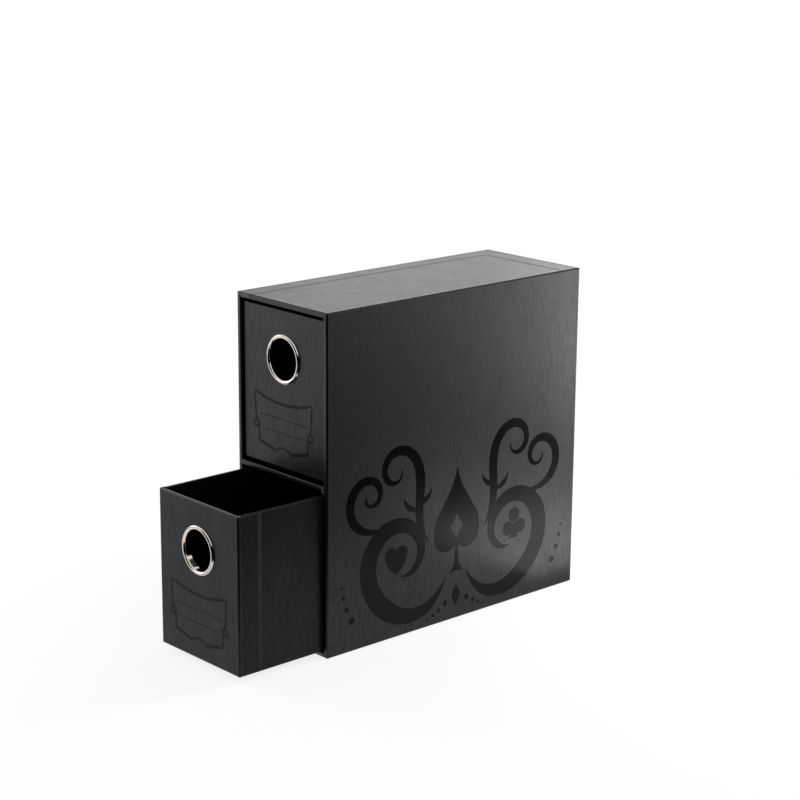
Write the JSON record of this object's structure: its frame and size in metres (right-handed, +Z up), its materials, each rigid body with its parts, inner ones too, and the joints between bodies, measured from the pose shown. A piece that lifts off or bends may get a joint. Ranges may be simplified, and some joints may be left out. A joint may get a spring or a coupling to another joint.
{
  "type": "card box with drawers",
  "caption": "Tall paper-covered slipcase with stacked open-top drawers for playing cards, each pulled out by a rolled metal finger ring in its front.",
  "frame": {"origin": "centre of the underside of the case, on the surface that it stands on", "axes": "+X to the right seen from the front, -Y out of the drawer fronts, +Z up"},
  "size_m": [0.085, 0.2804, 0.215],
  "materials": {
    "cover_paper": "matt black, fine straight grain",
    "lining_paper": "matt black, plain",
    "greyboard": "raw grey board, hidden under paper",
    "ring_metal": "bright plated sheet metal",
    "gloss_print": "gloss black varnish print on the cover paper"
  },
  "bodies": {
    "case": {"case_left_board": "greyboard", "case_right_board": "greyboard", "case_top_board": "greyboard", "case_bottom_board": "greyboard", "case_back_board": "greyboard", "case_shelf_board": "greyboard", "case_main_wrap": "cover_paper", "case_side_wrap": "cover_paper", "case_shelf_wrap": "cover_paper", "case_base_wrap": "cover_paper", "upper_bay_liner": "lining_paper", "lower_bay_liner": "lining_paper"},
    "upper_drawer": {"upper_drawer_front_board": "greyboard", "upper_drawer_back_board": "greyboard", "upper_drawer_left_board": "greyboard", "upper_drawer_right_board": "greyboard", "upper_drawer_bottom_board": "greyboard", "upper_drawer_front_wrap": "cover_paper", "upper_drawer_body_wrap": "cover_paper", "upper_drawer_base_sheet": "cover_paper", "upper_drawer_liner": "lining_paper", "upper_drawer_finger_ring": "ring_metal", "upper_drawer_ring_washer": "ring_metal"},
    "lower_drawer": {"lower_drawer_front_board": "greyboard", "lower_drawer_back_board": "greyboard", "lower_drawer_left_board": "greyboard", "lower_drawer_right_board": "greyboard", "lower_drawer_bottom_board": "greyboard", "lower_drawer_front_wrap": "cover_paper", "lower_drawer_body_wrap": "cover_paper", "lower_drawer_base_sheet": "cover_paper", "lower_drawer_liner": "lining_paper", "lower_drawer_finger_ring": "ring_metal", "lower_drawer_ring_washer": "ring_metal"}
  },
  "joints": [
    {"name": "upper_drawer_slide", "type": "slide", "parent": "case", "child": "upper_drawer", "axis": [0, -1, 0], "range_m": [0, 0.1958]},
    {"name": "lower_drawer_slide", "type": "slide", "parent": "case", "child": "lower_drawer", "axis": [0, -1, 0], "range_m": [-0.0658, 0.13]}
  ]
}
